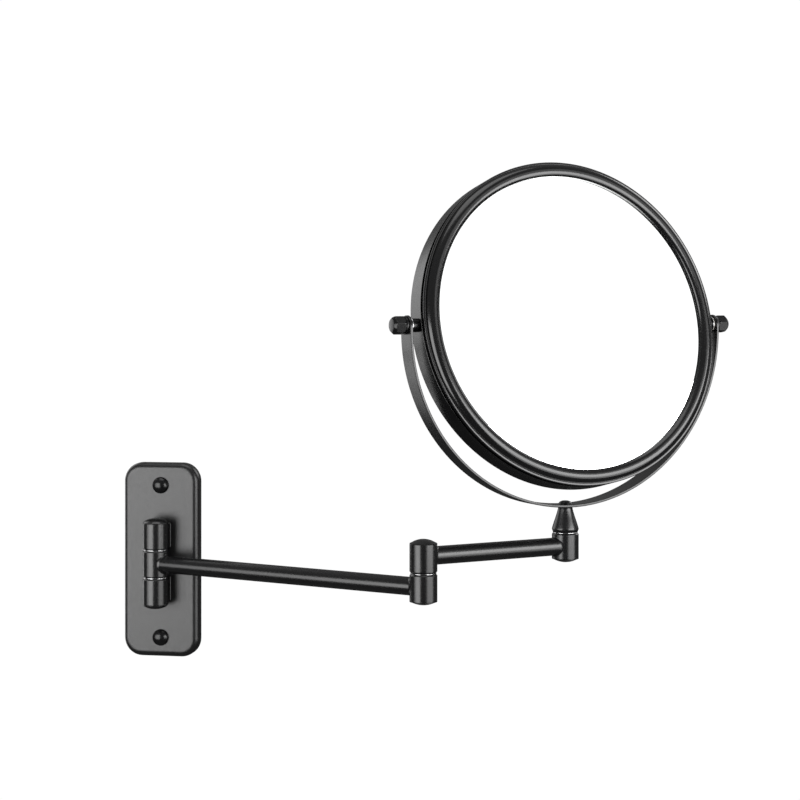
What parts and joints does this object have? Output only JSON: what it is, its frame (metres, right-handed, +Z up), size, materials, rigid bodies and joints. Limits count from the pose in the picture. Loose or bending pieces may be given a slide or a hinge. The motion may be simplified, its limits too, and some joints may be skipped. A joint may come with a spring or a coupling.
{
  "type": "extendable shaving mirror",
  "caption": "Wall-mounted shaving mirror: a rectangular plate, two hinged tube arms and a round two-faced mirror that tilts in a half-ring yoke.",
  "frame": {"origin": "on the wall plane, midway between the two wall screws and level with the inner arm's axis", "axes": "+Y into the wall along the wall screws, +Z up, +X to the right along the wall seen from the room"},
  "size_m": [0.424, 0.1585, 0.3471],
  "materials": {
    "black_coat": "satin black coat on steel and zinc castings",
    "black_gloss": "gloss black screws and nuts",
    "bright_steel": "polished thin washers",
    "zinc_steel": "zinc plated hidden fixings",
    "nylon": "natural nylon bushes",
    "mirror_glass": "silvered glass",
    "board": "grey board packing",
    "core_plastic": "moulded black plastic"
  },
  "bodies": {
    "wall_plate": {"wall_cover": "black_coat", "backing_plate": "zinc_steel", "screw_sleeves": "zinc_steel", "wall_screws": "black_gloss", "knuckle_screws": "zinc_steel", "knuckle_washers": "zinc_steel", "hinge_knuckle_top": "black_coat", "hinge_knuckle_bottom": "black_coat", "hinge_pin": "zinc_steel", "hinge_caps": "black_coat", "hinge_washers": "bright_steel"},
    "inner_arm": {"inner_arm_knuckle": "black_coat", "hinge_bushes": "nylon", "inner_arm_tube": "black_coat", "elbow_lower_barrel": "black_coat", "elbow_bolt": "zinc_steel", "elbow_bottom_plug": "black_coat", "elbow_washer": "bright_steel", "elbow_spring_washer": "zinc_steel", "elbow_nut": "zinc_steel"},
    "outer_arm": {"elbow_upper_barrel": "black_coat", "elbow_bush": "nylon", "elbow_cap": "black_coat", "outer_arm_tube": "black_coat", "stem_barrel": "black_coat", "stem_bush": "nylon", "stem_plug": "black_coat"},
    "yoke": {"swivel_stem": "black_coat", "stem_washer": "bright_steel", "stem_spring_washer": "zinc_steel", "stem_nut": "zinc_steel", "yoke_strip": "black_coat", "yoke_screw": "black_gloss", "pivot_bushes": "nylon"},
    "mirror": {"drum_band": "black_coat", "front_bezel": "black_coat", "front_mirror": "mirror_glass", "rear_mirror": "mirror_glass", "front_backing": "board", "core_disc": "core_plastic", "rear_backing": "board", "pivot_studs": "zinc_steel", "pivot_nuts": "zinc_steel", "pivot_spacers": "black_gloss", "pivot_washers": "bright_steel", "pivot_collars": "black_gloss", "cap_nuts": "black_gloss"}
  },
  "joints": [
    {"name": "inner_arm_swing", "type": "hinge", "parent": "wall_plate", "child": "inner_arm", "pos_m": [0, -0.021, 0], "axis": [0, 0, 1], "range_deg": [-158, 21.5]},
    {"name": "elbow_swing", "type": "hinge", "parent": "inner_arm", "child": "outer_arm", "pos_m": [0.20502, -0.10217, 0.009], "axis": [0, 0, 1], "continuous": true},
    {"name": "yoke_swivel", "type": "hinge", "parent": "outer_arm", "child": "yoke", "pos_m": [0.28964, -0.03066, 0.029], "axis": [0, 0, 1], "continuous": true},
    {"name": "mirror_tilt", "type": "hinge", "parent": "yoke", "child": "mirror", "pos_m": [0.28964, -0.03066, 0.1687], "axis": [0.8141, 0.5807, 0], "continuous": true}
  ]
}
